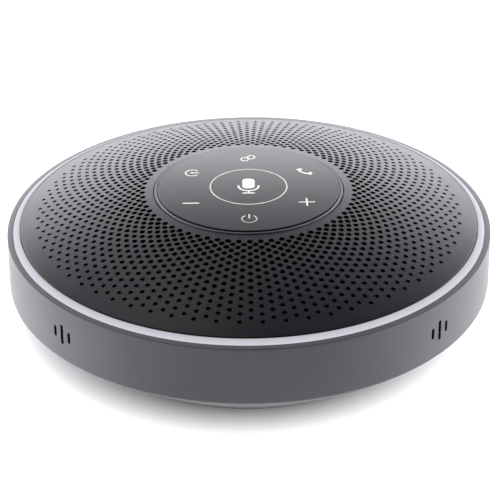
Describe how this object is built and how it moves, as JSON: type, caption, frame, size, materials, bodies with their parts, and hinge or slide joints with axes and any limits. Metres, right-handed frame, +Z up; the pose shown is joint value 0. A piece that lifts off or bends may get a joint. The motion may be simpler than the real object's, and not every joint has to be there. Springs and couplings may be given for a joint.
{
  "type": "conference speakerphone",
  "caption": "Low round conference speakerphone with a perforated dome grille, rim light ring, central touch panel, side microphone slits and a tapered base.",
  "frame": {"origin": "centre of the rubber foot's underside, on the table", "axes": "+Z up, -Y towards the front (power symbol), +Y towards the rear USB port, +X to the right"},
  "size_m": [0.126, 0.126, 0.0393],
  "materials": {
    "housing_plastic": "fine matte moulded dark grey",
    "grille_metal": "satin dark grey powder coat on perforated steel",
    "trim_metal": "satin anodised dark grey",
    "panel_gloss": "smooth satin-gloss dark grey",
    "icon_white": "white translucent symbols",
    "light_diffuser": "frosted translucent white",
    "foot_rubber": "matte black",
    "dust_mesh": "fine black nylon mesh",
    "frame_plastic": "moulded black",
    "screw_steel": "zinc plated",
    "board_green": "green solder mask",
    "led_white": "LED packages",
    "chip_black": "moulded black packages",
    "shield_steel": "tinned sheet steel",
    "connector_white": "ivory nylon",
    "flex_amber": "polyimide film",
    "basket_metal": "black pressed steel",
    "plate_steel": "zinc plated",
    "magnet_grey": "sintered magnet",
    "cone_paper": "black paper pulp",
    "surround_rubber": "butyl rubber",
    "spider_cloth": "resin-treated cotton",
    "former_foil": "aluminium and film bobbin",
    "coil_copper": "enamelled copper wire",
    "gasket_foam": "closed-cell foam",
    "battery_wrap": "blue sleeve over lithium cells",
    "wire_insulation": "PVC insulation",
    "gasket_rubber": "silicone rubber"
  },
  "bodies": {
    "housing": {"base_cover": "housing_plastic", "base_screws": "screw_steel", "battery_circuit": "board_green", "battery_connector": "connector_white", "battery_foam": "gasket_foam", "battery_pack": "battery_wrap", "battery_wires": "wire_insulation", "board_chips": "chip_black", "board_screws": "screw_steel", "carrier_screws": "screw_steel", "dust_mesh": "dust_mesh", "flex_connector": "connector_white", "foot_ring": "foot_rubber", "frame_screws": "screw_steel", "grille": "grille_metal", "inner_frame": "frame_plastic", "light_baffle": "frame_plastic", "light_board": "board_green", "light_leds": "led_white", "light_ring": "light_diffuser", "main_board": "board_green", "mic_board_front_left": "board_green", "mic_board_front_right": "board_green", "mic_board_rear_left": "board_green", "mic_board_rear_right": "board_green", "mic_capsule_front_left": "shield_steel", "mic_capsule_front_right": "shield_steel", "mic_capsule_rear_left": "shield_steel", "mic_capsule_rear_right": "shield_steel", "mic_gasket_front_left": "gasket_rubber", "mic_gasket_front_right": "gasket_rubber", "mic_gasket_rear_left": "gasket_rubber", "mic_gasket_rear_right": "gasket_rubber", "panel_carrier": "frame_plastic", "panel_flex": "flex_amber", "panel_icons": "icon_white", "panel_trim": "trim_metal", "shield_can": "shield_steel", "side_housing": "housing_plastic", "speaker_basket": "basket_metal", "speaker_connector": "connector_white", "speaker_gasket": "gasket_foam", "speaker_magnet": "magnet_grey", "speaker_screws": "screw_steel", "speaker_terminals": "frame_plastic", "speaker_top_plate": "plate_steel", "speaker_wires": "wire_insulation", "speaker_yoke": "plate_steel", "touch_board": "board_green", "touch_leds": "led_white", "touch_panel": "panel_gloss", "usb_receptacle": "shield_steel", "usb_tongue": "chip_black"},
    "cone_assembly": {"speaker_cone": "cone_paper", "speaker_dust_cap": "cone_paper", "voice_coil_former": "former_foil", "voice_coil": "coil_copper", "speaker_surround": "surround_rubber", "speaker_spider": "spider_cloth"}
  },
  "joints": [
    {"name": "cone_travel", "type": "slide", "parent": "housing", "child": "cone_assembly", "axis": [0, 0, 1], "range_m": [-0.0015, 0.0015], "stiffness_N_per_m": 400, "deforming": ["speaker_surround", "speaker_spider"]}
  ]
}
